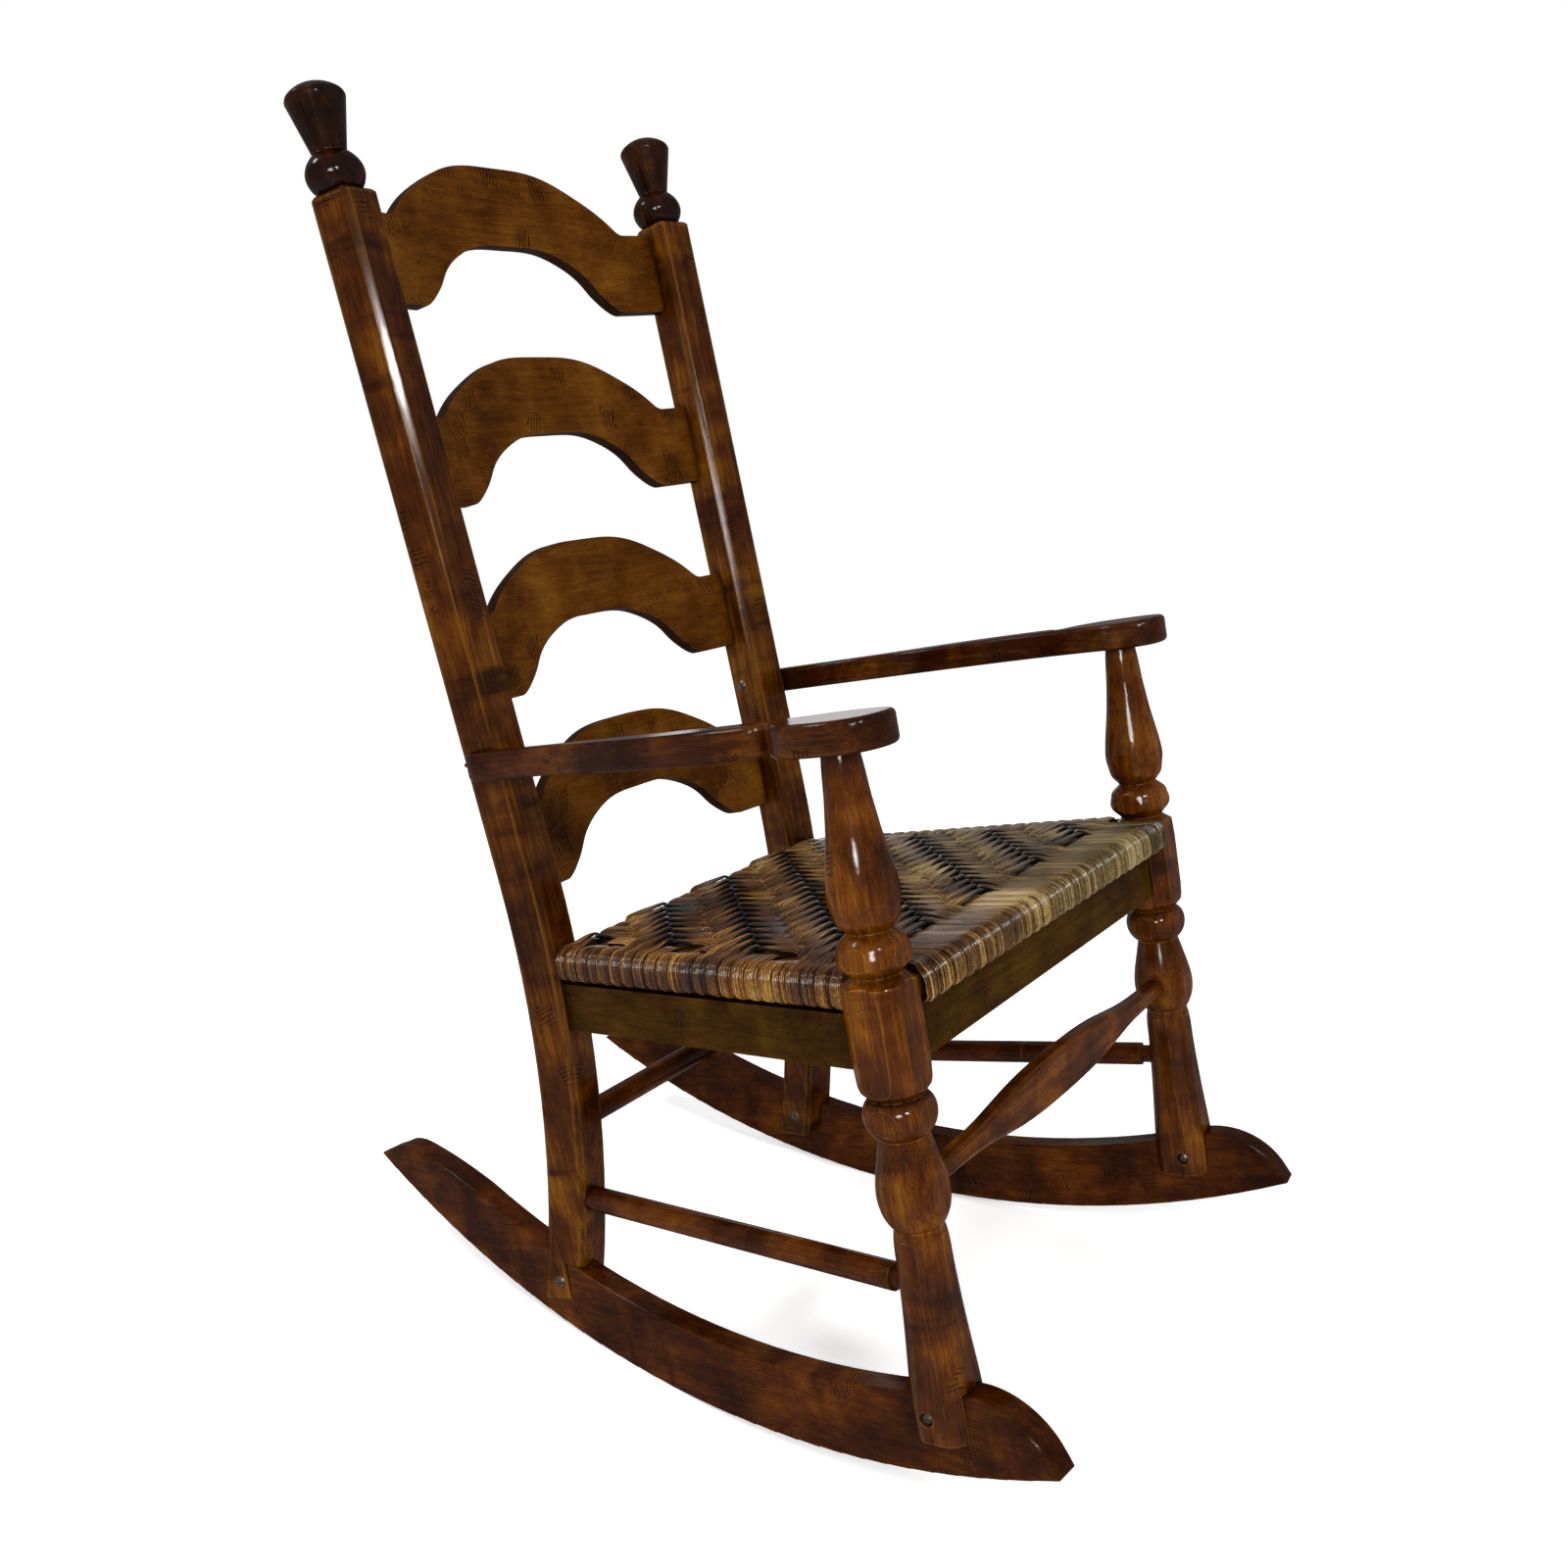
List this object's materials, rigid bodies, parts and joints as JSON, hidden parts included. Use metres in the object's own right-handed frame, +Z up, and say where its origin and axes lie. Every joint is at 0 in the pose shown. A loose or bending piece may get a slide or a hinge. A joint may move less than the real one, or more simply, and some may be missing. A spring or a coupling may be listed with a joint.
{
  "type": "rocking chair",
  "caption": "Ladder-back rocking chair in dark stained wood: turned faceted front legs, arched slats, flat arms, curved rockers, twill-woven splint seat",
  "frame": {"origin": "on the floor plane, under the centre of the chair's overall box, with the chair at rest on its rockers", "axes": "+Z up, X across the chair with the left and right sides alike about X = 0, +Y to the chair's back; it faces -Y. Left pieces are at -X, as seen from the front"},
  "size_m": [0.5752, 0.8428, 1.1315],
  "materials": {
    "stained_wood_posts": "glossy varnish over a dark, blotchy stain",
    "stained_wood_slats": "glossy varnish over a dark, blotchy stain",
    "stained_wood_legs": "glossy varnish over a dark, blotchy stain",
    "stained_wood_arms": "glossy varnish over a dark, blotchy stain",
    "stained_wood_rockers": "glossy varnish over a dark, blotchy stain",
    "stained_wood_rails": "glossy varnish over a dark, blotchy stain",
    "plain_wood": "unfinished",
    "woven_splint": "varnished twill weave of narrow strands",
    "dark_steel": "darkened"
  },
  "bodies": {
    "root": {"arm_left": "stained_wood_arms", "arm_right": "stained_wood_arms", "arm_screws": "dark_steel", "finial_left": "stained_wood_posts", "finial_right": "stained_wood_posts", "foot_screws": "dark_steel", "front_apron": "stained_wood_rails", "front_leg_left": "stained_wood_legs", "front_leg_right": "stained_wood_legs", "front_stretcher": "stained_wood_rails", "rear_apron": "stained_wood_rails", "rear_post_left": "stained_wood_posts", "rear_post_right": "stained_wood_posts", "rear_stretcher": "stained_wood_rails", "rocker_left": "stained_wood_rockers", "rocker_right": "stained_wood_rockers", "seat_rail_front": "plain_wood", "seat_rail_rear": "plain_wood", "seat_rail_side_left": "plain_wood", "seat_rail_side_right": "plain_wood", "side_apron_left": "stained_wood_rails", "side_apron_right": "stained_wood_rails", "side_stretcher_left": "stained_wood_rails", "side_stretcher_right": "stained_wood_rails", "slat_1": "stained_wood_slats", "slat_2": "stained_wood_slats", "slat_3": "stained_wood_slats", "slat_4": "stained_wood_slats", "woven_seat": "woven_splint"}
  },
  "joints": []
}
